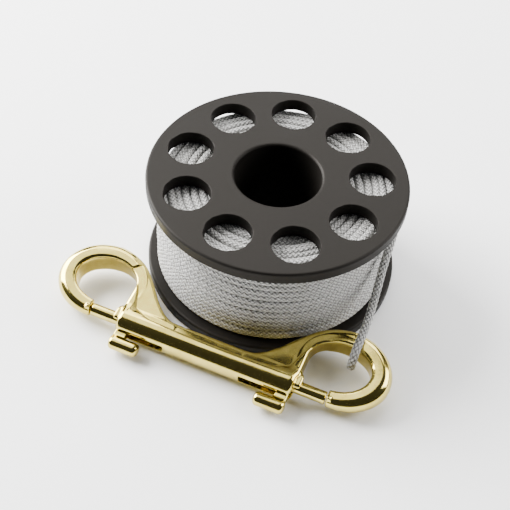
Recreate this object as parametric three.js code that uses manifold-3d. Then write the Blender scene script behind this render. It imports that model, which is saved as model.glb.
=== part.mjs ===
// Finger spool for a diver's guide line, with its double-ended bolt snap beside it.
// Millimetres, +Z up. The base is z = 0 and +X runs along the barrel of the snap.
import * as THREE from 'three';
import { mergeVertices } from 'three/addons/utils/BufferGeometryUtils.js';
import Module from 'manifold-3d';

const wasm = await Module();
wasm.setup();

// ---- driving dimensions ----

// spool, turned from one bar
const FLANGE_R = 42;
const SPOOL_H = 40;
const FLANGE_T = 4.3;
const DRUM_R = 17;
const BORE_R = 14;
const RIM_CHAMFER = 0.8;
const BORE_CHAMFER = 1.0;
const HOLE_COUNT = 9;
const HOLE_R = 7.7;
const HOLE_RING_R = 30.1;
const HOLE_START = THREE.MathUtils.degToRad(22.1);

// line
const LINE_D = 2.8;
const WINDING_R = 37.4;
const WINDING_GAP = 1.0;
const CLEARANCE = 0.3;

// snap, 115 mm long
const BARREL_R = 4.9;
const BARREL_HALF = 29.9;
const BARREL_EDGE = 1.4;
const BORE_END = 4.0;
const SNAP_BORE_R = 2.4;
const SLOT_START = 13.0;
const SLOT_HALF = 1.6;
const TIP_FACE = 40.4;
const HOOK_X = 40.9;
const HOOK_Y = 10.5;
const HOOK_A = 12.8;
const HOOK_B = 10.5;
const GUSSET_HALF = 2.6;
const GUSSET_EDGE_HALF = 1.6;
const GUSSET_STEP = 0.8;
const SNAP_TILT = THREE.MathUtils.degToRad(7.5);

// moving pieces of the snap
const BOLT_R = 2.05;
const BOLT_INNER = 19.5;
const BOLT_OUTER = 40.1;
const TRIGGER_Y = -8.3;
const TRIGGER_R = 2.2;
const TRIGGER_INNER = 19.7;
const TRIGGER_OUTER = 29.7;
const STEM_INNER = 25.3;
const STEM_OUTER = 29.3;
const STEM_HALF = 1.3;
const STUD_R = 0.8;
const SPRING_R = 1.65;
const WIRE_R = 0.3;
const SPRING_TURNS = 6;

// where the spool's axis stands, seen from the middle of the snap's barrel
const SPOOL_X = 1.7;
const SPOOL_Y = 49.3;

// ---- materials ----

const acetal = () => new THREE.MeshStandardMaterial({ color: 0x3d3b38, roughness: 0.5, metalness: 0 });
const braid = () => new THREE.MeshStandardMaterial({ color: 0xe9e8e5, roughness: 0.85, metalness: 0 });
const brass = () => new THREE.MeshStandardMaterial({ color: 0xc6a552, roughness: 0.16, metalness: 1 });
const steel = () => new THREE.MeshStandardMaterial({ color: 0xb4b6b8, roughness: 0.3, metalness: 1 });

// ---- solids ----

function toSolid(geometry) {
  const bare = geometry.index ? geometry.toNonIndexed() : geometry.clone();
  for (const name of Object.keys(bare.attributes)) {
    if (name !== 'position') bare.deleteAttribute(name);
  }
  const merged = mergeVertices(bare, 1e-4);
  return new wasm.Manifold(new wasm.Mesh({
    numProp: 3,
    vertProperties: new Float32Array(merged.attributes.position.array),
    triVerts: new Uint32Array(merged.index.array),
  }));
}

function toGeometry(solid) {
  const mesh = solid.getMesh();
  const geometry = new THREE.BufferGeometry();
  geometry.setAttribute('position', new THREE.BufferAttribute(mesh.vertProperties, 3));
  geometry.setIndex(new THREE.BufferAttribute(mesh.triVerts, 1));
  geometry.computeVertexNormals();
  return geometry;
}

function named(name, geometry, material) {
  const mesh = new THREE.Mesh(geometry, material);
  mesh.name = name;
  return mesh;
}

// The same shape on the other side of x = 0, with its faces turned out again.
function mirrorX(geometry) {
  const flat = geometry.index ? geometry.toNonIndexed() : geometry.clone();
  flat.scale(-1, 1, 1);
  const p = flat.attributes.position;
  const a = new THREE.Vector3();
  const b = new THREE.Vector3();
  for (let i = 0; i < p.count; i += 3) {
    a.fromBufferAttribute(p, i);
    b.fromBufferAttribute(p, i + 1);
    p.setXYZ(i, b.x, b.y, b.z);
    p.setXYZ(i + 1, a.x, a.y, a.z);
  }
  return flat;
}

function onSide(side, geometry) {
  return side < 0 ? mirrorX(geometry) : geometry;
}

// A round bar from x0 to x1 along X, its edges rounded.
function bar(x0, x1, radius, edge, segments) {
  const profile = [new THREE.Vector2(0, x0)];
  const steps = 3;
  for (let i = 0; i <= steps; i += 1) {
    const a = (Math.PI / 2) * (i / steps);
    profile.push(new THREE.Vector2(radius - edge * (1 - Math.sin(a)), x0 + edge * (1 - Math.cos(a))));
  }
  for (let i = steps; i >= 0; i -= 1) {
    const a = (Math.PI / 2) * (i / steps);
    profile.push(new THREE.Vector2(radius - edge * (1 - Math.sin(a)), x1 - edge * (1 - Math.cos(a))));
  }
  profile.push(new THREE.Vector2(0, x1));
  return new THREE.LatheGeometry(profile, segments).rotateZ(-Math.PI / 2);
}

// A box given by its lowest and highest corners.
function block(x0, x1, y0, y1, z0, z1) {
  const box = new THREE.BoxGeometry(x1 - x0, y1 - y0, z1 - z0);
  return box.translate((x0 + x1) / 2, (y0 + y1) / 2, (z0 + z1) / 2);
}

// A ring about Z with its outline given as [radius, height] pairs.
function turned(outline, segments) {
  const profile = outline.map(([r, z]) => new THREE.Vector2(r, z));
  profile.push(profile[0].clone());
  return new THREE.LatheGeometry(profile, segments).rotateX(Math.PI / 2);
}

// The value at s of a quantity that runs evenly between [s, value] pairs.
function along(pairs, s) {
  const next = pairs.findIndex(([at]) => at >= s);
  if (next <= 0) return pairs[0][1];
  const [s0, v0] = pairs[next - 1];
  const [s1, v1] = pairs[next];
  return v0 + ((v1 - v0) * (s - s0)) / (s1 - s0);
}

// ---- spool ----

function spoolGeometry() {
  const top = SPOOL_H;
  let solid = toSolid(turned([
    [BORE_R, BORE_CHAMFER],
    [BORE_R + BORE_CHAMFER, 0],
    [FLANGE_R - RIM_CHAMFER, 0],
    [FLANGE_R, RIM_CHAMFER],
    [FLANGE_R, FLANGE_T - RIM_CHAMFER],
    [FLANGE_R - RIM_CHAMFER, FLANGE_T],
    [DRUM_R, FLANGE_T],
    [DRUM_R, top - FLANGE_T],
    [FLANGE_R - RIM_CHAMFER, top - FLANGE_T],
    [FLANGE_R, top - FLANGE_T + RIM_CHAMFER],
    [FLANGE_R, top - RIM_CHAMFER],
    [FLANGE_R - RIM_CHAMFER, top],
    [BORE_R + BORE_CHAMFER, top],
    [BORE_R, top - BORE_CHAMFER],
  ], 72));
  for (let i = 0; i < HOLE_COUNT; i += 1) {
    const angle = HOLE_START + (i * 2 * Math.PI) / HOLE_COUNT;
    const drill = new THREE.CylinderGeometry(HOLE_R, HOLE_R, SPOOL_H + 2, 24).rotateX(Math.PI / 2);
    drill.translate(HOLE_RING_R * Math.cos(angle), HOLE_RING_R * Math.sin(angle), SPOOL_H / 2);
    solid = solid.subtract(toSolid(drill));
  }
  return toGeometry(solid);
}

// ---- line ----

// The wound line, as one ring of its outer shape with soft shoulders.
function windingGeometry() {
  const inner = DRUM_R + CLEARANCE;
  const low = FLANGE_T + WINDING_GAP;
  const high = SPOOL_H - FLANGE_T - WINDING_GAP;
  const soft = LINE_D;
  return turned([
    [inner, low],
    [WINDING_R - soft, low],
    [WINDING_R - 0.3 * soft, low + 0.3 * soft],
    [WINDING_R, low + soft],
    [WINDING_R, high - soft],
    [WINDING_R - 0.3 * soft, high - 0.3 * soft],
    [WINDING_R - soft, high],
    [inner, high],
  ], 72);
}

// The free end: off the side of the winding, down over the far arc of the right hook
// and into its eye. Points are taken from the spool's axis, on the base.
const TAIL_ROUTE = [
  [37.8, 10.9, 31.3],
  [38.5, 7.4, 30.6],
  [39.0, 4.0, 29.8],
  [39.4, 0.7, 28.7],
  [39.7, -2.6, 27.3],
  [40.0, -5.9, 25.5],
  [40.3, -9.0, 23.3],
  [40.6, -12.0, 21.0],
  [40.9, -15.0, 18.8],
  [41.2, -18.1, 16.8],
  [41.5, -21.5, 15.5],
  [41.7, -24.8, 14.8],
  [41.8, -28.0, 14.2],
  [41.8, -31.3, 13.6],
  [41.7, -34.0, 12.1],
  [41.7, -35.7, 9.4],
  [41.6, -36.2, 6.2],
];

function tailGeometry() {
  const path = new THREE.CatmullRomCurve3(TAIL_ROUTE.map(([x, y, z]) => new THREE.Vector3(x, y, z)));
  const section = new THREE.Shape().absarc(0, 0, LINE_D / 2, 0, 2 * Math.PI);
  return new THREE.ExtrudeGeometry(section, { extrudePath: path, steps: 24, curveSegments: 4 });
}

// ---- snap ----

const ARC_SHARE = 0.85;

// The middle line of one hook: from its tip, round an ellipse and down into the barrel.
function hookPoint(s) {
  if (s <= ARC_SHARE) {
    const angle = -Math.PI / 2 + (1.5 * Math.PI * s) / ARC_SHARE;
    return new THREE.Vector2(HOOK_X + HOOK_A * Math.cos(angle), HOOK_Y + HOOK_B * Math.sin(angle));
  }
  const down = (s - ARC_SHARE) / (1 - ARC_SHARE);
  return new THREE.Vector2(HOOK_X - HOOK_A, HOOK_Y * (1 - 0.9 * down));
}

const HOOK_WIDTH = [[0, 2.45], [0.28, 3.3], [0.57, 3.3], [0.85, 2.0], [1, 1.9]];
const HOOK_HEIGHT = [[0, 2.45], [0.28, 4.0], [0.5, 4.5], [0.6, 4.4], [0.72, 3.8], [1, 3.8]];

// Turns a point of a circle into one of a square with well rounded corners.
const squared = (v) => Math.sign(v) * Math.sqrt(Math.abs(v));

// A bar bent along the hook's middle line and swelled to its width and height. Its
// section is round outside the hook and nearly square on the inner side.
function hookGeometry() {
  const rod = new THREE.CylinderGeometry(1, 1, 1, 16, 26);
  const p = rod.attributes.position;
  const step = 1e-3;
  for (let i = 0; i < p.count; i += 1) {
    const s = p.getY(i) + 0.5;
    const tangent = hookPoint(Math.min(s + step, 1)).sub(hookPoint(Math.max(s - step, 0))).normalize();
    const shaped = p.getX(i) < 0 ? squared : (v) => v;
    const width = shaped(p.getX(i)) * along(HOOK_WIDTH, s);
    const at = hookPoint(s).add(new THREE.Vector2(tangent.y, -tangent.x).multiplyScalar(width));
    p.setXYZ(i, at.x, at.y, shaped(p.getZ(i)) * along(HOOK_HEIGHT, s));
  }
  return rod;
}

// The flat gusset in the corner between the barrel and the hook. Its outer edge is
// drawn in by inset, so that two of them, one thin and one thick, make a stepped edge.
function gussetGeometry(inset, half) {
  const outer = [[16.8, 6.0], [20.9, 9.7], [25.9, 15.7], [30.4, 20.2], [36.0, 23.1]];
  outer.push([HOOK_X, HOOK_Y + HOOK_B + 3.2]);
  const outline = new THREE.Shape();
  outline.moveTo(8 + inset, -1);
  outline.lineTo(11 + inset, 4.1 - inset);
  outline.splineThru(outer.map(([x, y]) => new THREE.Vector2(x + inset, y - inset)));
  outline.absellipse(HOOK_X, HOOK_Y, HOOK_A, HOOK_B, Math.PI / 2, Math.PI, false, 0);
  outline.lineTo(HOOK_X - HOOK_A, -1);
  const plate = new THREE.ExtrudeGeometry(outline, {
    depth: 2 * half, bevelEnabled: false, curveSegments: 8,
  });
  return plate.translate(0, 0, -half);
}

function snapBodyGeometry() {
  let solid = toSolid(bar(-BARREL_HALF, BARREL_HALF, BARREL_R, BARREL_EDGE, 32));
  for (const side of [-1, 1]) {
    solid = solid.add(toSolid(onSide(side, hookGeometry())));
    solid = solid.add(toSolid(onSide(side, gussetGeometry(0, GUSSET_EDGE_HALF))));
    solid = solid.add(toSolid(onSide(side, gussetGeometry(GUSSET_STEP, GUSSET_HALF))));
  }
  for (const side of [-1, 1]) {
    const bore = bar(BORE_END, TIP_FACE - 1, SNAP_BORE_R, 0.4, 24);
    const slot = block(SLOT_START, BARREL_HALF + 1, -BARREL_R - 1, 0, -SLOT_HALF, SLOT_HALF);
    solid = solid.subtract(toSolid(onSide(side, bore)));
    solid = solid.subtract(toSolid(onSide(side, slot)));
    solid = solid.subtract(toSolid(onSide(side, block(HOOK_X - 4, TIP_FACE, -4, 4, -4, 4))));
  }
  return toGeometry(solid);
}

function boltGeometry(side) {
  const rod = toSolid(bar(BOLT_INNER, BOLT_OUTER, BOLT_R, 0.5, 24));
  const hole = new THREE.CylinderGeometry(STUD_R + CLEARANCE, STUD_R + CLEARANCE, 4, 12);
  hole.translate((STEM_INNER + STEM_OUTER) / 2, -2.3, 0);
  return onSide(side, toGeometry(rod.subtract(toSolid(hole))));
}

// Thumb bar, stem and the stud that carries it in the bolt, in one piece.
function triggerGeometry(side) {
  const neck = -BOLT_R - CLEARANCE;
  const stud = new THREE.CylinderGeometry(STUD_R, STUD_R, 2, 12);
  stud.translate((STEM_INNER + STEM_OUTER) / 2, neck + 0.7, 0);
  const solid = toSolid(bar(TRIGGER_INNER, TRIGGER_OUTER, TRIGGER_R, 1.3, 20))
    .translate([0, TRIGGER_Y, 0])
    .add(toSolid(block(STEM_INNER, STEM_OUTER, TRIGGER_Y, neck, -STEM_HALF, STEM_HALF)))
    .add(toSolid(stud));
  return onSide(side, toGeometry(solid));
}

class Coil extends THREE.Curve {
  getPoint(t) {
    const turn = 2 * Math.PI * SPRING_TURNS * t;
    const start = BORE_END + CLEARANCE + WIRE_R;
    const end = BOLT_INNER - CLEARANCE - WIRE_R;
    return new THREE.Vector3(start + (end - start) * t, SPRING_R * Math.cos(turn), SPRING_R * Math.sin(turn));
  }
}

function springGeometry(side) {
  const wire = new THREE.Shape().absarc(0, 0, WIRE_R, 0, 2 * Math.PI);
  const coil = new THREE.ExtrudeGeometry(wire, {
    extrudePath: new Coil(), steps: SPRING_TURNS * 12, curveSegments: 3,
  });
  return onSide(side, coil);
}

// ---- assembly ----

const spoolFrame = new THREE.Group();
spoolFrame.position.set(SPOOL_X, SPOOL_Y, 0);
spoolFrame.add(named('spool', spoolGeometry(), acetal()));
spoolFrame.add(named('line_winding', windingGeometry(), braid()));
const tail = named('line_tail', tailGeometry(), braid());

const snapFrame = new THREE.Group();
snapFrame.position.z = BARREL_R;
snapFrame.rotation.x = SNAP_TILT;
snapFrame.add(named('snap_body', snapBodyGeometry(), brass()));
for (const [side, name] of [[-1, 'left'], [1, 'right']]) {
  snapFrame.add(named(`${name}_bolt`, boltGeometry(side), brass()));
  snapFrame.add(named(`${name}_trigger`, triggerGeometry(side), brass()));
  snapFrame.add(named(`${name}_spring`, springGeometry(side), steel()));
}

const reel = new THREE.Group();
reel.add(spoolFrame, snapFrame);

// The origin is the middle of the base under the spool and the snap.
reel.updateMatrixWorld(true);
const middle = new THREE.Box3().setFromObject(reel, true).getCenter(new THREE.Vector3());
reel.position.set(-middle.x, -middle.y, 0);
spoolFrame.add(tail);

export default reel;
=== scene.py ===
"""A diver's finger spool wound with braided line, and its brass double-ended bolt snap."""
import math

import bmesh
import bpy
import numpy as np
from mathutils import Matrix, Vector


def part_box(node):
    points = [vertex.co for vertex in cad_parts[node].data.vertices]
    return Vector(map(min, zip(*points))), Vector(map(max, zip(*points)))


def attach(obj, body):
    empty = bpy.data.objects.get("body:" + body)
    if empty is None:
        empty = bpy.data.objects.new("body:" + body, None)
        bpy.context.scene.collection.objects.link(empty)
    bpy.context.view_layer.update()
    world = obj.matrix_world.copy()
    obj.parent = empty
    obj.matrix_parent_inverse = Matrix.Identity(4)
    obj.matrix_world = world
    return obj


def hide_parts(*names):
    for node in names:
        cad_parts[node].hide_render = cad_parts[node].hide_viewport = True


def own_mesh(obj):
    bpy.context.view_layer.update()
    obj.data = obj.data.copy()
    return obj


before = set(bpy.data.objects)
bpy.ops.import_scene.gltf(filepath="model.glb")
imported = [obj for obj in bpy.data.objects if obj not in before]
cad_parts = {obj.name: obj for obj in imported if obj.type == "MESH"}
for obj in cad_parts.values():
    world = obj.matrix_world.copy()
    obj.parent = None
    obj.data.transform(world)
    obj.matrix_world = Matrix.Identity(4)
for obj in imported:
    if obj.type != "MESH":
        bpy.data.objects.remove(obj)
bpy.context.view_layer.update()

import openvdb
from mathutils import Matrix, Vector
from mathutils.geometry import delaunay_2d_cdt

# ---- sizes in millimetres, as in the CAD unless a comment says otherwise ----

MM = 0.001
FLANGE_R, SPOOL_H, FLANGE_T = 42.0, 40.0, 4.3
DRUM_R, BORE_R = 17.0, 14.0
RIM_ROUND, BORE_ROUND = 0.8, 1.0
# The CAD's 7.7 mm holes are sharp. Here the rounded edge takes that radius, and the wall is narrower.
HOLE_ROUND = 0.25
HOLE_R = 7.7 - HOLE_ROUND
HOLE_COUNT, HOLE_RING_R, HOLE_START = 9, 30.1, math.radians(22.1)
LINE_D = 2.8
BARREL_R, BARREL_HALF = 4.9, 29.9
BARREL_EDGE = 1.6  # 1.4 in the CAD
BORE_END, SNAP_BORE_R = 4.0, 2.4
SLOT_START, SLOT_HALF = 13.0, 1.6
TIP_FACE = 40.4
HOOK_X, HOOK_Y, HOOK_A, HOOK_B = 40.9, 10.5, 12.8, 10.5
BOLT_R, BOLT_INNER, BOLT_OUTER = 2.05, 19.5, 40.1
TRIGGER_Y, TRIGGER_R, TRIGGER_INNER, TRIGGER_OUTER = -8.3, 2.2, 19.7, 29.7
STEM_INNER, STEM_OUTER, STEM_HALF = 25.3, 29.3, 1.3
SPRING_R, WIRE_R, SPRING_TURNS = 1.65, 0.3, 6
SNAP_TILT = math.radians(7.5)

low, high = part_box("spool")
SPOOL_AXIS = Vector(((low.x + high.x) / 2, (low.y + high.y) / 2, 0))
low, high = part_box("left_bolt")
BARREL_AXIS = Vector((0, (low.y + high.y) / 2, (low.z + high.z) / 2))

# Millimetres in the spool's or the snap's own axes, to metres in the frame.
SPOOL_PLACE = Matrix.Translation(SPOOL_AXIS) @ Matrix.Scale(MM, 4)
SNAP_PLACE = Matrix.Translation(BARREL_AXIS) @ Matrix.Rotation(SNAP_TILT, 4, "X") @ Matrix.Scale(MM, 4)


# ---- camera, around the middle of the spool's top face ----

CAMERA_AZIMUTH, CAMERA_ELEVATION = math.radians(18.38), math.radians(43.39)
CAMERA_ROLL, CAMERA_PITCH, CAMERA_YAW = math.radians(-5.46), math.radians(4.87), math.radians(-0.92)
CAMERA_DISTANCE = 0.3079
LENS, SENSOR = 68.3506, 36.0


def rotation(axis, angle):
    return np.array(Matrix.Rotation(angle, 3, axis))


def make_camera():
    back = np.array([0, -math.cos(CAMERA_ELEVATION), math.sin(CAMERA_ELEVATION)])
    axes = np.stack([[1, 0, 0], np.cross(back, [1, 0, 0]), back])
    axes = rotation("Z", CAMERA_ROLL) @ rotation("X", CAMERA_PITCH) @ rotation("Y", CAMERA_YAW) @ axes
    turn = rotation("Z", CAMERA_AZIMUTH)
    data = bpy.data.cameras.new("camera")
    data.sensor_width = SENSOR
    data.lens = LENS
    data.clip_start = 0.01
    camera = bpy.data.objects.new("camera", data)
    bpy.context.scene.collection.objects.link(camera)
    pose = Matrix((turn @ axes.T).tolist()).to_4x4()
    pose.translation = SPOOL_AXIS + Vector((0, 0, SPOOL_H * MM)) + CAMERA_DISTANCE * Vector(turn @ back)
    camera.matrix_world = pose
    bpy.context.scene.camera = camera


make_camera()


# ---- mesh helpers ----

def add_object(name, mesh):
    made = bpy.data.objects.new(name, mesh)
    bpy.context.scene.collection.objects.link(made)
    return made


def finish_piece(piece, body, material, node):
    piece.data.materials.append(material)
    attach(piece, body)
    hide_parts(node)


def unit(v):
    return v / np.linalg.norm(v, axis=-1, keepdims=True)


def ease(t):
    """0 to 1 with a soft start and a soft stop."""
    t = np.clip(t, 0, 1)
    return t * t * (3 - 2 * t)


def circle(segments):
    return np.linspace(0, 2 * np.pi, segments, endpoint=False)


def catmull(points, per_span):
    """Points on a smooth curve through the given ones."""
    points = np.asarray(points, float)
    ends = np.vstack([2 * points[0] - points[1], points, 2 * points[-1] - points[-2]])
    out = []
    for i in range(1, len(ends) - 2):
        a, b, c, d = ends[i - 1:i + 3]
        for t in np.arange(per_span) / per_span:
            out.append(0.5 * (2 * b + (c - a) * t + (2 * a - 5 * b + 4 * c - d) * t * t
                              + (3 * b - a - 3 * c + d) * t ** 3))
    out.append(points[-1])
    return np.array(out)


def transported(path):
    """Two unit vectors across the path at each point, turning as little as they can."""
    tangent = unit(np.gradient(path, axis=0))
    out = np.zeros_like(path)
    out[0] = unit(np.cross(tangent[0], [0, 0, 1.0]))
    for i in range(1, len(path)):
        out[i] = unit(out[i - 1] - tangent[i] * np.dot(out[i - 1], tangent[i]))
    return out, np.cross(tangent, out)


BRAID_STRANDS = 6
BRAID_PITCH = 10.0
BRAID_DEPTH = 0.38
BRAID_SOFTNESS = 0.3125  # how far one strand takes to dive under the next
CAP_BULGE = 0.25


def braid_height(around, along):
    """0 between the strands of the braid and 1 on top of one. around is in turns, along in mm."""
    a = np.cos(np.pi * BRAID_STRANDS * (around + along / BRAID_PITCH))
    b = np.cos(np.pi * BRAID_STRANDS * (around - along / BRAID_PITCH))
    over = ease(a * b / (2 * BRAID_SOFTNESS) + 0.5)
    return np.abs(a) * over + np.abs(b) * (1 - over)


def tube(name, path, out, side, radius, angles, depth, place):
    """A closed tube along path. out and side are unit vectors across it, and angles start at out."""
    step = np.linalg.norm(np.diff(path, axis=0), axis=1)
    along = np.concatenate([[0], np.cumsum(step)])
    around = angles / (2 * np.pi)
    reach = (radius + depth * (braid_height(around[None, :], along[:, None]) - 1))[..., None]
    across = (np.cos(angles)[None, :, None] * out[:, None]
              + np.sin(angles)[None, :, None] * side[:, None])
    ring = path[:, None] + reach * across
    n, k = ring.shape[:2]
    i, j = np.meshgrid(np.arange(n - 1), np.arange(k), indexing="ij")
    after = (j + 1) % k
    faces = np.stack([i * k + j, i * k + after, (i + 1) * k + after, (i + 1) * k + j], -1)
    u0, u1 = around[j], np.where(j + 1 < k, around[after], around[0] + 1)
    v0, v1 = along[i], along[i + 1]
    uv = np.stack([np.stack(pair, -1) for pair in ((u0, v0), (u1, v0), (u1, v1), (u0, v1))], 2)
    faces, uv = faces.reshape(-1, 4).tolist(), uv.reshape(-1, 2).tolist()
    vertices = np.vstack([ring.reshape(-1, 3),
                          path[0] - CAP_BULGE * radius * unit(path[1] - path[0]),
                          path[-1] + CAP_BULGE * radius * unit(path[-1] - path[-2])])
    for q in range(k):
        r = (q + 1) % k
        faces.append([n * k, r, q])
        faces.append([n * k + 1, (n - 1) * k + q, (n - 1) * k + r])
        for end, beyond in ((0, -1.0), (-1, 1.0)):
            uv += [[around[q], along[end] + beyond], [around[q], along[end]], [around[q], along[end]]]
    mesh = bpy.data.meshes.new(name)
    mesh.from_pydata(vertices.tolist(), [], faces)
    mesh.uv_layers.new(name="braid").data.foreach_set("uv", np.array(uv, np.float32).ravel())
    mesh.transform(place)
    mesh.shade_smooth()
    return add_object(name, mesh)


# ---- materials ----

def new_material(name):
    """A material, its node tree, its shader and the piece's own coordinates."""
    made = bpy.data.materials.new(name)
    made.use_nodes = True
    tree = made.node_tree
    place = tree.nodes.new("ShaderNodeTexCoord").outputs["Object"]
    return made, tree, tree.nodes["Principled BSDF"], place


def maths(tree, operation, *values):
    made = tree.nodes.new("ShaderNodeMath")
    made.operation = operation
    for socket, value in zip(made.inputs, values):
        if isinstance(value, (int, float)):
            socket.default_value = value
        else:
            tree.links.new(value, socket)
    return made.outputs[0]


def weighted(tree, first, first_weight, second, second_weight):
    return maths(tree, "ADD", maths(tree, "MULTIPLY", first, first_weight),
                 maths(tree, "MULTIPLY", second, second_weight))


def ramp(tree, source, *stops):
    """A colour for each place along source. Each stop is (place, red, green, blue) or (place, grey)."""
    made = tree.nodes.new("ShaderNodeValToRGB")
    elements = made.color_ramp.elements
    while len(elements) < len(stops):
        elements.new(0.5)
    for element, (at, *colour) in zip(elements, stops):
        element.position = at
        element.color = (*(colour * 3)[:3], 1)
    tree.links.new(source, made.inputs[0])
    return made.outputs[0]


def noise(tree, vector, scale, detail, roughness):
    made = tree.nodes.new("ShaderNodeTexNoise")
    for name, value in (("Scale", scale), ("Detail", detail), ("Roughness", roughness)):
        made.inputs[name].default_value = value
    tree.links.new(vector, made.inputs["Vector"])
    return made.outputs["Fac"]


def stretched(tree, source, scale):
    made = tree.nodes.new("ShaderNodeMapping")
    made.inputs["Scale"].default_value = scale
    tree.links.new(source, made.inputs["Vector"])
    return made.outputs[0]


def bump(tree, shader, height, distance, strength, below=None):
    """Relief on the shader. below is the normal of an earlier bump to build on."""
    made = tree.nodes.new("ShaderNodeBump")
    made.inputs["Distance"].default_value = distance
    made.inputs["Strength"].default_value = strength
    tree.links.new(height, made.inputs["Height"])
    if below is not None:
        tree.links.new(below, made.inputs["Normal"])
    tree.links.new(made.outputs[0], shader.inputs["Normal"])
    return made.outputs[0]


def around_spool(tree, place):
    """Coordinates of distance from the spool's axis and height, for marks that run round it."""
    centred = tree.nodes.new("ShaderNodeMapping")
    centred.inputs["Location"].default_value = (-SPOOL_AXIS.x, -SPOOL_AXIS.y, 0)
    tree.links.new(place, centred.inputs["Vector"])
    parts = tree.nodes.new("ShaderNodeSeparateXYZ")
    tree.links.new(centred.outputs[0], parts.inputs[0])
    x, y, z = parts.outputs
    square = maths(tree, "ADD", maths(tree, "MULTIPLY", x, x), maths(tree, "MULTIPLY", y, y))
    joined = tree.nodes.new("ShaderNodeCombineXYZ")
    tree.links.new(maths(tree, "SQRT", square), joined.inputs[0])
    tree.links.new(z, joined.inputs[2])
    return joined.outputs[0]


def acetal_material():
    made, tree, shader, place = new_material("acetal")
    turned = noise(tree, around_spool(tree, place), 5200, 2.0, 0.6)
    grain = noise(tree, place, 1900, 4.0, 0.6)
    smears = noise(tree, place, 55, 4.0, 0.55)
    colour = ramp(tree, smears, (0.3, 0.0042, 0.0036, 0.0030), (0.7, 0.0060, 0.0053, 0.0044))
    tree.links.new(colour, shader.inputs["Base Color"])
    tree.links.new(ramp(tree, smears, (0.25, 0.46), (0.75, 0.56)), shader.inputs["Roughness"])
    shader.inputs["Specular IOR Level"].default_value = 0.12
    shader.inputs["Specular Tint"].default_value = (1.0, 0.92, 0.83, 1)
    below = bump(tree, shader, turned, 0.00004, 0.5)
    bump(tree, shader, grain, 0.00003, 0.5, below)
    return made


def braid_pattern(tree, uv):
    """The same strands as braid_height, from the tube's own map."""
    parts = tree.nodes.new("ShaderNodeSeparateXYZ")
    tree.links.new(uv, parts.inputs[0])
    around, along = parts.outputs[0], maths(tree, "DIVIDE", parts.outputs[1], BRAID_PITCH)
    turns = [maths(tree, operation, around, along) for operation in ("ADD", "SUBTRACT")]
    waves = [maths(tree, "COSINE", maths(tree, "MULTIPLY", t, math.pi * BRAID_STRANDS)) for t in turns]
    made = tree.nodes.new("ShaderNodeMapRange")
    made.interpolation_type = "SMOOTHSTEP"
    made.inputs["From Min"].default_value = -BRAID_SOFTNESS
    made.inputs["From Max"].default_value = BRAID_SOFTNESS
    tree.links.new(maths(tree, "MULTIPLY", *waves), made.inputs["Value"])
    over = made.outputs[0]
    first, second = (maths(tree, "ABSOLUTE", wave) for wave in waves)
    return weighted(tree, first, over, second, maths(tree, "SUBTRACT", 1.0, over))


def line_material():
    made, tree, shader, place = new_material("braided_line")
    own_map = tree.nodes.new("ShaderNodeUVMap")
    own_map.uv_map = "braid"
    uv = own_map.outputs[0]
    height = braid_pattern(tree, uv)
    fibres = noise(tree, stretched(tree, uv, (60, 3.0, 1)), 1.0, 3.0, 0.6)
    fuzz = noise(tree, place, 2600, 3.0, 0.6)
    stains = noise(tree, place, 90, 3.0, 0.5)
    # The line's colour is painted shade in the braid's gaps, darker between the strands and lighter on top
    # of them, multiplied by the line's own stains.
    gap_shade_and_stains = tree.nodes.new("ShaderNodeMix")
    gap_shade_and_stains.data_type = "RGBA"
    gap_shade_and_stains.blend_type = "MULTIPLY"
    gap_shade_and_stains.inputs["Factor"].default_value = 1.0
    # The dark end of this ramp is painted shade between the strands; the fuzz adds the fibres' own uneven
    # tone.
    tree.links.new(ramp(tree, weighted(tree, height, 0.62, fuzz, 0.5), (0.15, 0.08, 0.077, 0.072),
                        (0.5, 0.27, 0.265, 0.253), (0.85, 0.56, 0.555, 0.54)), gap_shade_and_stains.inputs["A"])
    tree.links.new(ramp(tree, stains, (0.3, 0.92, 0.915, 0.90), (0.7, 1.0)), gap_shade_and_stains.inputs["B"])
    tree.links.new(gap_shade_and_stains.outputs["Result"], shader.inputs["Base Color"])
    shader.inputs["Roughness"].default_value = 0.72
    shader.inputs["Sheen Weight"].default_value = 0.15
    below = bump(tree, shader, height, 0.0004, 0.85)
    bump(tree, shader, weighted(tree, fibres, 0.6, fuzz, 0.5), 0.00007, 0.6, below)
    return made


def brass_material():
    made, tree, shader, place = new_material("brass")
    cast = noise(tree, place, 140, 2.0, 0.4)
    polish = noise(tree, stretched(tree, place, (260, 2400, 2400)), 1.0, 3.0, 0.6)
    tarnish = noise(tree, place, 230, 4.0, 0.6)
    colour = ramp(tree, tarnish, (0.3, 0.54, 0.43, 0.10), (0.65, 0.67, 0.55, 0.15))
    tree.links.new(colour, shader.inputs["Base Color"])
    tree.links.new(ramp(tree, tarnish, (0.3, 0.17), (0.7, 0.11)), shader.inputs["Roughness"])
    shader.inputs["Metallic"].default_value = 1.0
    below = bump(tree, shader, cast, 0.0002, 0.25)
    bump(tree, shader, polish, 0.000004, 0.35, below)
    return made


def steel_material():
    made, tree, shader, place = new_material("spring_wire")
    drawn = noise(tree, stretched(tree, place, (900, 900, 4000)), 1.0, 3.0, 0.6)
    colour = ramp(tree, drawn, (0.3, 0.34, 0.34, 0.35), (0.7, 0.52, 0.53, 0.54))
    tree.links.new(colour, shader.inputs["Base Color"])
    tree.links.new(ramp(tree, drawn, (0.3, 0.38), (0.7, 0.26)), shader.inputs["Roughness"])
    shader.inputs["Metallic"].default_value = 1.0
    bump(tree, shader, drawn, 0.00001, 0.4)
    return made


acetal, braid = acetal_material(), line_material()
brass, steel = brass_material(), steel_material()

# ---- the line's free end: out of the winding, past the lower flange, down into the right eye ----

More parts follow.
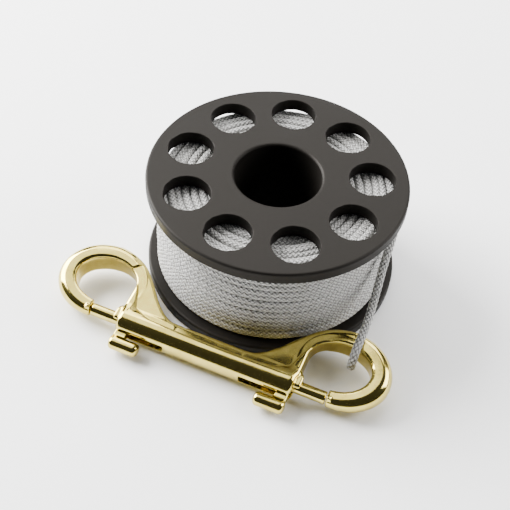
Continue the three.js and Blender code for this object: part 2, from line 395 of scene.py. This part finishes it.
# Metres from the spool's axis on the base.
TAIL_ROUTE = np.array([
    (0.0382, 0.0110, 0.0313), (0.0389, 0.0075, 0.0306), (0.0394, 0.0040, 0.0298),
    (0.0397, 0.0007, 0.0287), (0.0399, -0.0026, 0.0273), (0.0401, -0.0059, 0.0255),
    (0.0403, -0.0090, 0.0233), (0.0406, -0.0120, 0.0210), (0.0409, -0.0150, 0.0188),
    (0.0412, -0.0181, 0.0168), (0.0415, -0.0215, 0.0155), (0.0417, -0.0248, 0.0148),
    (0.0418, -0.0280, 0.0142), (0.0418, -0.0313, 0.0136), (0.0417, -0.0340, 0.0121),
    (0.0417, -0.0357, 0.0094), (0.0416, -0.0362, 0.0062),
])


def make_tail():
    route = catmull(TAIL_ROUTE, 14) / MM
    out, side = transported(route)
    tail = tube("line_end_braid", route, out, side, LINE_D / 2, circle(32), BRAID_DEPTH, SPOOL_PLACE)
    finish_piece(tail, "line_end", braid, "line_tail")


make_tail()

# ---- the wound line ----

LAYERS = 8
LAYER_FIRST, LAYER_LAST = DRUM_R + 0.3 + LINE_D / 2, 37.5
FLANGE_GAP = 0.15
WIND_LOW = FLANGE_T + FLANGE_GAP + LINE_D / 2
WIND_HIGH = SPOOL_H - WIND_LOW
TURNS = 14.5  # in each layer
DWELL = 1.1  # turns spent against a flange at each end of a layer
RISE = 0.4  # turns taken to climb to the next layer
CLIMB_OUT = 0.3  # turns taken by the last of the line to climb to the free end
RADIUS_WANDER, HEIGHT_WANDER = 0.27, 0.45
FINE_STEP, COARSE_STEP = 0.65, 1.15  # along the outer layer and the layers under it
SLIM, SLIM_FROM, SLIM_OVER = 0.85, 17.0, 8.0  # the winding is slimmer near the top, clear of the free end


def wavy(values, seed, size, periods):
    """A slow, smooth, seeded wander."""
    rng = np.random.default_rng(seed)
    total = np.zeros_like(values)
    for period in periods:
        total += np.sin(values / period + rng.uniform(0, 2 * np.pi)) * rng.uniform(0.5, 1.0)
    return size * total / len(periods)


def winding_path(step):
    """Radius, angle, height and layer of the line, from the hub out to where the free end leaves."""
    leave_x, leave_y, leave_height = TAIL_ROUTE[0] / MM
    turns = np.arange(0, LAYERS * TURNS, step / (2 * np.pi * LAYER_LAST))
    layer = np.minimum(np.floor(turns / TURNS), LAYERS - 1)
    within = turns - layer * TURNS
    gap = (LAYER_LAST - LAYER_FIRST) / (LAYERS - 1)
    radius = LAYER_FIRST + gap * (layer - np.where(layer > 0, 1 - ease(within / RISE), 0))
    share = np.clip((within - DWELL) / (TURNS - 2 * DWELL), 0, 1)
    up = np.where(layer % 2 == 1, share, 1 - share)
    angle = math.atan2(leave_y, leave_x) + 2 * np.pi * (LAYERS * TURNS - turns)
    radius = radius + wavy(angle, 5, RADIUS_WANDER, (0.9, 1.7, 3.1, 7.3))
    height = WIND_LOW + (WIND_HIGH - WIND_LOW) * up
    height = height + wavy(angle, 9, HEIGHT_WANDER, (1.3, 2.1, 4.7, 11.0))
    height = np.clip(height, WIND_LOW, WIND_HIGH)
    radius = radius - SLIM * np.clip((height - SLIM_FROM) / SLIM_OVER, 0, 1) * (layer >= LAYERS - 2)
    out = ease(1 - (LAYERS * TURNS - turns) / CLIMB_OUT)
    radius = radius + (math.hypot(leave_x, leave_y) - radius) * out
    height = height + (leave_height - height) * out
    return radius, angle, height, layer


def polar(radius, angle, height):
    return np.stack([radius * np.cos(angle), radius * np.sin(angle), height], -1)


def wound(name, radius, angle, height, angles, depth):
    path = polar(radius, angle, height)
    out = polar(np.ones_like(angle), angle, np.zeros_like(angle))
    tangent = unit(np.gradient(path, axis=0))
    out = unit(out - tangent * (out * tangent).sum(1, keepdims=True))
    piece = tube(name, path, out, np.cross(tangent, out), LINE_D / 2, angles, depth, SPOOL_PLACE)
    finish_piece(piece, "reel", braid, "line_winding")


def make_winding():
    """The outer layer with its braid, and the layers under it, finer where the holes show their ends."""
    radius, angle, height, layer = winding_path(FINE_STEP)
    fine = layer == LAYERS - 1
    facing_out = np.linspace(-np.pi / 2, np.pi / 2, 13)
    facing_in = np.linspace(np.pi / 2, 1.5 * np.pi, 7)[1:-1]
    wound("line_outer_layer", radius[fine], angle[fine], height[fine],
          np.concatenate([facing_out, facing_in]), BRAID_DEPTH)
    radius, angle, height, layer = winding_path(COARSE_STEP)
    seen = 1.2 * LINE_D
    near_flange = (height < WIND_LOW + seen) | (height > WIND_HIGH - seen)
    keep = (layer < LAYERS - 1) & (near_flange | (np.arange(len(layer)) % 4 == 0))
    wound("line_inner_layers", radius[keep], angle[keep], height[keep], circle(8), 0.0)


make_winding()

# ---- spool ----

ROUND_SEGMENTS, HOLE_SEGMENTS = 192, 64
SHARP_ANGLE = math.radians(9)


def hole_centres():
    turn = [HOLE_START + 2 * math.pi * i / HOLE_COUNT for i in range(HOLE_COUNT)]
    return [(HOLE_RING_R * math.cos(t), HOLE_RING_R * math.sin(t)) for t in turn]


def arc(centre, radius, start, end, steps=4):
    angles = np.radians(np.linspace(start, end, steps + 1))
    return [(centre[0] + radius * math.cos(a), centre[1] + radius * math.sin(a)) for a in angles]


def ring_wall(profile, segments, centre=(0, 0)):
    """Quads between circles given as (radius, height), in order."""
    x, y = centre
    vertices = [(x + r * math.cos(t), y + r * math.sin(t), z) for r, z in profile for t in circle(segments)]
    faces = []
    for i in range(len(profile) - 1):
        for j in range(segments):
            k = (j + 1) % segments
            faces.append((i * segments + j, i * segments + k,
                          (i + 1) * segments + k, (i + 1) * segments + j))
    return vertices, faces


def holed_face(outer, inner, height):
    """The flat ring between two radii with the nine holes left out."""
    rings = [((0, 0), outer, ROUND_SEGMENTS), ((0, 0), inner, ROUND_SEGMENTS)]
    rings += [(centre, HOLE_R + HOLE_ROUND, HOLE_SEGMENTS) for centre in hole_centres()]
    points, edges = [], []
    for (x, y), radius, segments in rings:
        ring = list(range(len(points), len(points) + segments))
        points += [Vector((x + radius * math.cos(t), y + radius * math.sin(t))) for t in circle(segments)]
        edges += list(zip(ring, ring[1:] + ring[:1]))
    made = delaunay_2d_cdt(points, edges, [], 0, 1e-6)
    places, keep = made[0], []
    for face in made[2]:
        middle = sum((places[i] for i in face), Vector((0, 0))) / len(face)
        clear = all((middle - Vector(c)).length > HOLE_R for c in hole_centres())
        if inner < middle.length < outer and clear:
            keep.append(tuple(face))
    return [(p.x, p.y, height) for p in places], keep


def spool_patches():
    """Every patch of the spool's surface as (vertices, faces)."""
    inner_top = SPOOL_H - FLANGE_T
    bore = arc((BORE_R + BORE_ROUND, BORE_ROUND), BORE_ROUND, 270, 180)
    bore += arc((BORE_R + BORE_ROUND, SPOOL_H - BORE_ROUND), BORE_ROUND, 180, 90)
    yield ring_wall(bore, ROUND_SEGMENTS)
    yield ring_wall([(DRUM_R, FLANGE_T), (DRUM_R, inner_top)], ROUND_SEGMENTS)
    rim_x, hole_x = FLANGE_R - RIM_ROUND, HOLE_R + HOLE_ROUND
    for low, high in ((0, FLANGE_T), (inner_top, SPOOL_H)):
        rim = arc((rim_x, low + RIM_ROUND), RIM_ROUND, 270, 360)
        rim += arc((rim_x, high - RIM_ROUND), RIM_ROUND, 0, 90)
        yield ring_wall(rim, ROUND_SEGMENTS)
        wall = arc((hole_x, low + HOLE_ROUND), HOLE_ROUND, 270, 180, 2)
        wall += arc((hole_x, high - HOLE_ROUND), HOLE_ROUND, 180, 90, 2)
        for centre in hole_centres():
            yield ring_wall(wall, HOLE_SEGMENTS, centre)
        for height in (low, high):
            inner = BORE_R + BORE_ROUND if height in (0, SPOOL_H) else DRUM_R
            yield holed_face(rim_x, inner, height)


def make_spool():
    mesh = bmesh.new()
    for vertices, faces in spool_patches():
        made = [mesh.verts.new(v) for v in vertices]
        for face in faces:
            mesh.faces.new([made[i] for i in face])
    bmesh.ops.remove_doubles(mesh, verts=mesh.verts, dist=1e-4)
    bmesh.ops.recalc_face_normals(mesh, faces=mesh.faces)
    data = bpy.data.meshes.new("spool_turned")
    mesh.to_mesh(data)
    mesh.free()
    data.transform(SPOOL_PLACE)
    data.shade_smooth()
    data.set_sharp_from_angle(angle=SHARP_ANGLE)
    finish_piece(add_object("spool_turned", data), "reel", acetal, "spool")


make_spool()

# ---- solids from distance fields: below 0 is inside ----

NEWTON_STEPS = 3
LEAST_SLOPE = 0.12


def smooth_min(a, b, k):
    h = np.maximum(k - np.abs(a - b), 0) / k
    return np.minimum(a, b) - h * h * k / 4


def smooth_max(a, b, k):
    return -smooth_min(-a, -b, k)


def rounded_corner(across, along, edge):
    """Distance to a corner rounded by edge, from the distances to its two sides."""
    a, b = across + edge, along + edge
    outside = np.sqrt(np.maximum(a, 0) ** 2 + np.maximum(b, 0) ** 2)
    return outside + np.minimum(np.maximum(a, b), 0) - edge


def rod_field(x, y, z, start, end, radius, edge, centre_y=0.0):
    """A round bar along X with rounded edges."""
    across = np.sqrt((y - centre_y) ** 2 + z ** 2) - radius
    return rounded_corner(across, np.maximum(start - x, x - end), edge)


def block_field(x, y, z, low, high, edge):
    gaps = [np.maximum(lo - v, v - hi) + edge for v, lo, hi in zip((x, y, z), low, high)]
    outside = np.sqrt(sum(np.maximum(g, 0) ** 2 for g in gaps))
    return outside + np.minimum(np.maximum(np.maximum(gaps[0], gaps[1]), gaps[2]), 0) - edge


def section_field(a, b, half_a, half_b, power):
    """Distance to a superellipse, from its level and slope. a and b are in half widths."""
    a, b = np.abs(a), np.abs(b)
    level = np.maximum((a ** power + b ** power) ** (1 / power), 1e-3)
    slope = np.sqrt((a ** (power - 1) / half_a) ** 2 + (b ** (power - 1) / half_b) ** 2)
    return (level - 1) / np.maximum(slope * level ** (1 - power), LEAST_SLOPE)


def mix_steps(share, pairs):
    return np.interp(share, *zip(*pairs))


def nearest_on(line, x, y):
    """Distance of each (x, y) from a polyline, more than 0 to its right, and the share along it."""
    x, y = np.broadcast_arrays(x, y)
    flat = np.stack([x.ravel(), y.ravel()], -1)
    start, step = line[:-1], np.diff(line, axis=0)
    length = np.linalg.norm(step, axis=1)
    total = np.concatenate([[0], np.cumsum(length)])
    best = np.full(len(flat), 1e9)
    side = np.zeros(len(flat))
    share = np.zeros(len(flat))
    for a, d, l, before in zip(start, step, length, total):
        rel = flat - a
        t = np.clip((rel @ d) / (l * l), 0, 1)
        off = rel - t[:, None] * d
        dist = np.hypot(off[:, 0], off[:, 1])
        near = dist < best - 1e-9
        best[near] = dist[near]
        side[near] = np.sign(rel[near, 0] * d[1] - rel[near, 1] * d[0])
        share[near] = (before + t[near] * l) / total[-1]
    return (best * side).reshape(x.shape), share.reshape(x.shape)


def forward_slope(field, points, step):
    """The field at the points, and its slope taken forwards, which is quick."""
    x, y, z = points.T
    value = field(x, y, z)
    ahead = [field(x + step, y, z), field(x, y + step, z), field(x, y, z + step)]
    return value, np.stack([v - value for v in ahead], -1) / step


def central_slope(field, points, step):
    x, y, z = points.T
    return np.stack([field(x + step, y, z) - field(x - step, y, z),
                     field(x, y + step, z) - field(x, y - step, z),
                     field(x, y, z + step) - field(x, y, z - step)], -1) / (2 * step)


def field_mesh(name, field, lowest, highest, voxel):
    """Closed smooth surface where the field is 0, each point moved onto it along the slope."""
    x, y, z = (np.arange(lo, hi + voxel, voxel) for lo, hi in zip(lowest, highest))
    values = field(x[:, None, None], y[None, :, None], z[None, None, :]).astype(np.float32)
    grid = openvdb.FloatGrid(background=float(10 * voxel))
    grid.copyFromArray(np.ascontiguousarray(np.clip(values, -4, 4)))
    points, quads = grid.convertToQuads(isovalue=0.0)
    points = points.astype(float) * voxel + np.array(lowest)
    for _ in range(NEWTON_STEPS):
        value, slope = forward_slope(field, points, voxel * 0.1)
        size = np.maximum((slope ** 2).sum(1), 0.2)
        move = (value / size)[:, None] * slope
        reach = np.linalg.norm(move, axis=1, keepdims=True)
        points -= move * np.minimum(1, 0.5 * voxel / np.maximum(reach, 1e-9))
    slope = central_slope(field, points, voxel * 0.25)
    corners = points[quads]
    facing = np.cross(corners[:, 2] - corners[:, 0], corners[:, 3] - corners[:, 1])
    if (facing * slope[quads[:, 0]]).sum() < 0:
        quads = quads[:, ::-1]
    mesh = bpy.data.meshes.new(name)
    mesh.from_pydata(points.tolist(), [], quads.tolist())
    mesh.transform(SNAP_PLACE)
    mesh.validate()
    mesh.shade_smooth()
    normals = unit(slope) @ np.array(SNAP_PLACE.to_3x3().normalized().transposed())
    mesh.normals_split_custom_set_from_vertices(normals.tolist())
    return add_object(name, mesh)


# ---- snap body, in the snap's own axes ----

# Half widths towards the eye and away from it, and half height, by the share of the hook from its tip.
INNER_HALF = [(0, 2.4), (0.06, 2.45), (0.3, 3.3), (0.52, 3.3), (0.62, 3.0), (0.8, 2.1), (1, 2.2)]
OUTER_HALF = [(0, 2.4), (0.06, 2.45), (0.3, 3.4), (0.6, 3.3), (0.72, 2.6), (0.85, 2.4), (1, 2.4)]
HALF_HEIGHT = [(0, 2.45), (0.06, 2.45), (0.3, 4.0), (0.5, 4.45), (0.6, 4.4), (0.72, 3.8), (1, 3.8)]
EYE_SIDE_POWER, OUTER_SIDE_POWER = 5.0, 2.0  # nearly square inside, round outside
HOOK_ROOT_Y = 3.2

# The step down from the barrel and the eye's rim, and the outer edge of the web beyond it.
CREASE = catmull([(-60, 0.95), (0, 0.95), (12, 1.1), (20, 1.7), (24.6, 3.3), (27.0, 5.6), (28.2, 8.6),
                  (29.5, 11.4), (31.2, 14.0), (33.6, 16.5), (36.6, 18.6), (40.3, 20.0), (43.6, 20.3)], 6)
WEB = catmull([(11.0, 4.0), (14.4, 4.7), (17.6, 6.5), (20.9, 9.6), (23.6, 12.8), (26.3, 15.9),
               (30.3, 19.9), (34.6, 22.3), (38.4, 23.5), (42.0, 24.0)], 6)
WEB_TOP, WEB_BOTTOM = 3.15, 2.6
WEB_EDGE = 1.15
WEB_START, WEB_END, WEB_FOOT = 11.0, 42.0, -1.5
# Where the step ends: across X on one face of a hook, and across the ring, much sooner, on the other.
LONG_STEP_END = 43.0
SHORT_STEP_END, SHORT_STEP_X, SHORT_STEP_Y = 36.15, 0.69, 0.72
TIP_DEPTH, TIP_LOW, TIP_HIGH = 9.0, -4.5, 4.0
BORE_EDGE = 0.3
# How far each joint of two surfaces is rounded out.
HOOK_BLEND, STEP_BLEND, WEB_BLEND, TIP_BLEND, BORE_BLEND, WEB_START_BLEND = 1.4, 0.5, 0.35, 0.7, 0.35, 1.0
SNAP_VOXEL = 0.3


def hook_line():
    """The hook's middle line: from before its tip, round and down into the barrel."""
    turn = np.radians(np.linspace(-90, 180, 100))
    round_part = np.stack([HOOK_X + HOOK_A * np.cos(turn), HOOK_Y + HOOK_B * np.sin(turn)], -1)
    down = np.stack([np.full(6, HOOK_X - HOOK_A), np.linspace(HOOK_Y, HOOK_ROOT_Y, 7)[1:]], -1)
    return np.vstack([[HOOK_X - 4, 0], round_part, down])


HOOK_LINE = hook_line()


def hook_field(x, y, z):
    out, share = nearest_on(HOOK_LINE, x, y)
    inner, outer = mix_steps(share, INNER_HALF), mix_steps(share, OUTER_HALF)
    tall = mix_steps(share, HALF_HEIGHT)
    return np.where(out > 0, section_field(out / outer, z / tall, outer, tall, OUTER_SIDE_POWER),
                    section_field(out / inner, z / tall, inner, tall, EYE_SIDE_POWER))


def web_thickness(z):
    return np.where(z > 0, WEB_TOP, WEB_BOTTOM)


def web_field(x, y, z):
    """The flat plate in the corner between barrel and hook."""
    outline = smooth_max(-nearest_on(WEB, x, y)[0], WEB_START - x, WEB_START_BLEND)
    eye = 1.0 - np.sqrt(((x - HOOK_X) / HOOK_A) ** 2 + ((y - HOOK_Y) / HOOK_B) ** 2)
    for limit in (eye * HOOK_B, x - WEB_END, WEB_FOOT - y):
        outline = np.maximum(outline, limit)
    return rounded_corner(outline, np.abs(z) - web_thickness(z), WEB_EDGE)


def snap_field(x, y, z):
    long_step = x * z > 0
    x = np.abs(x)
    solid = rod_field(x, y, z, -BARREL_HALF, BARREL_HALF, BARREL_R, BARREL_EDGE)
    solid = smooth_min(solid, hook_field(x, y, z), HOOK_BLEND)
    cut = smooth_min(-nearest_on(CREASE, x, y)[0], np.abs(z) - web_thickness(z), STEP_BLEND)
    short_end = SHORT_STEP_END - SHORT_STEP_X * x - SHORT_STEP_Y * y
    cut = np.minimum(cut, np.where(long_step, LONG_STEP_END - x, short_end))
    solid = smooth_max(solid, cut, STEP_BLEND)
    solid = smooth_min(solid, web_field(x, y, z), WEB_BLEND)
    before_tip = block_field(x, y, z, (HOOK_X - TIP_DEPTH, TIP_LOW, -TIP_DEPTH),
                             (TIP_FACE, TIP_HIGH, TIP_DEPTH), 0.0)
    solid = smooth_max(solid, -before_tip, TIP_BLEND)
    bore = rod_field(x, y, z, BORE_END, TIP_FACE - 1, SNAP_BORE_R, BORE_EDGE)
    slot = block_field(x, y, z, (SLOT_START, -BARREL_R - 2, -SLOT_HALF),
                       (BARREL_HALF + 2, 0, SLOT_HALF), BORE_EDGE)
    return smooth_max(solid, -np.minimum(bore, slot), BORE_BLEND)


def make_snap_body():
    piece = field_mesh("snap_casting", snap_field, (-58.5, -6.0, -5.8), (58.5, 25.8, 5.8), SNAP_VOXEL)
    finish_piece(piece, "snap", brass, "snap_body")


make_snap_body()

# ---- bolts, triggers and springs ----

FINE_VOXEL = 0.18
BOLT_EDGE, KNOB_EDGE, STEM_EDGE = 0.45, 1.5, 0.35
STEM_BLEND = 0.8
END_GAP = 0.3
COIL_BUNCHING = 0.035  # how much closer the coils stand at the spring's ends, as a share of its length


def bolt_field(x, y, z):
    return rod_field(x, y, z, BOLT_INNER, BOLT_OUTER, BOLT_R, BOLT_EDGE)


def trigger_field(x, y, z):
    knob = rod_field(x, y, z, TRIGGER_INNER, TRIGGER_OUTER, TRIGGER_R, KNOB_EDGE, TRIGGER_Y)
    stem = block_field(x, y, z, (STEM_INNER, TRIGGER_Y, -STEM_HALF),
                       (STEM_OUTER, -BOLT_R - END_GAP, STEM_HALF), STEM_EDGE)
    return smooth_min(knob, stem, STEM_BLEND)


def make_slider(side, name, kind, field, node, ends, low, high):
    """A bolt or trigger. ends are its reach along X, low and high its reach across (y, z)."""
    start, end = sorted((side * (ends[0] - 1), side * (ends[1] + 1)))
    piece = field_mesh(f"{name}_{kind}", lambda x, y, z: field(side * x, y, z),
                       (start, *low), (end, *high), FINE_VOXEL)
    finish_piece(piece, f"{name}_slider", brass, f"{name}_{node}")


def make_spring(side, name):
    first, last = BORE_END + END_GAP + WIRE_R, BOLT_INNER - END_GAP - WIRE_R
    share = np.linspace(0, 1, SPRING_TURNS * 40 + 1)
    turn = 2 * np.pi * SPRING_TURNS * share
    eased = share - COIL_BUNCHING * np.sin(2 * np.pi * share)
    out = np.stack([np.zeros_like(turn), np.cos(turn), np.sin(turn)], -1)
    path = SPRING_R * out
    path[:, 0] = side * (first + (last - first) * eased)
    tangent = unit(np.gradient(path, axis=0))
    spring = tube(f"{name}_spring_coil", path, out, np.cross(tangent, out), WIRE_R, circle(12), 0.0,
                  SNAP_PLACE)
    finish_piece(spring, "snap", steel, f"{name}_spring")
    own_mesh(spring)


for side, name in ((-1, "left"), (1, "right")):
    make_slider(side, name, "bolt_turned", bolt_field, "bolt", (BOLT_INNER, BOLT_OUTER),
                (-2.9, -2.9), (2.9, 2.9))
    make_slider(side, name, "trigger_cast", trigger_field, "trigger", (TRIGGER_INNER, TRIGGER_OUTER),
                (-11.2, -3.0), (-1.2, 3.0))
    make_spring(side, name)

# ---- floor and light ----

FLOOR_HALF = 3.0
LIGHT_TARGET = Vector((0, 0, 0.02))


def make_floor():
    h = FLOOR_HALF
    mesh = bpy.data.meshes.new("floor")
    mesh.from_pydata([(-h, -h, 0), (h, -h, 0), (h, h, 0), (-h, h, 0)], [], [(0, 1, 2, 3)])
    made, tree, shader, place = new_material("pale_floor")
    clouds = noise(tree, place, 3.0, 3.0, 0.5)
    colour = ramp(tree, clouds, (0.3, 0.93, 0.93, 0.925), (0.7, 0.95, 0.95, 0.945))
    tree.links.new(colour, shader.inputs["Base Color"])
    shader.inputs["Roughness"].default_value = 0.9
    mesh.materials.append(made)
    add_object("floor", mesh)


def add_softbox(name, place, size, power):
    data = bpy.data.lights.new(name, "AREA")
    data.shape = "RECTANGLE"
    data.size, data.size_y = size
    data.energy = power
    direction = (LIGHT_TARGET - Vector(place)).to_track_quat("-Z", "Y").to_matrix().to_4x4()
    add_object(name, data).matrix_world = Matrix.Translation(place) @ direction


def make_light():
    world = bpy.data.worlds.new("studio")
    world.use_nodes = True
    background = world.node_tree.nodes["Background"]
    background.inputs["Color"].default_value = (0.9, 0.92, 1.0, 1)
    background.inputs["Strength"].default_value = 0.06
    bpy.context.scene.world = world
    add_softbox("back", (-0.15, 0.62, 0.62), (0.9, 0.6), 12)
    add_softbox("left", (-0.78, 0.12, 0.42), (0.65, 0.8), 58)
    add_softbox("right", (0.72, 0.4, 0.45), (0.5, 0.6), 12)
    add_softbox("overhead", (-0.30, 0.16, 0.95), (0.7, 0.5), 3.2)


make_floor()
make_light()
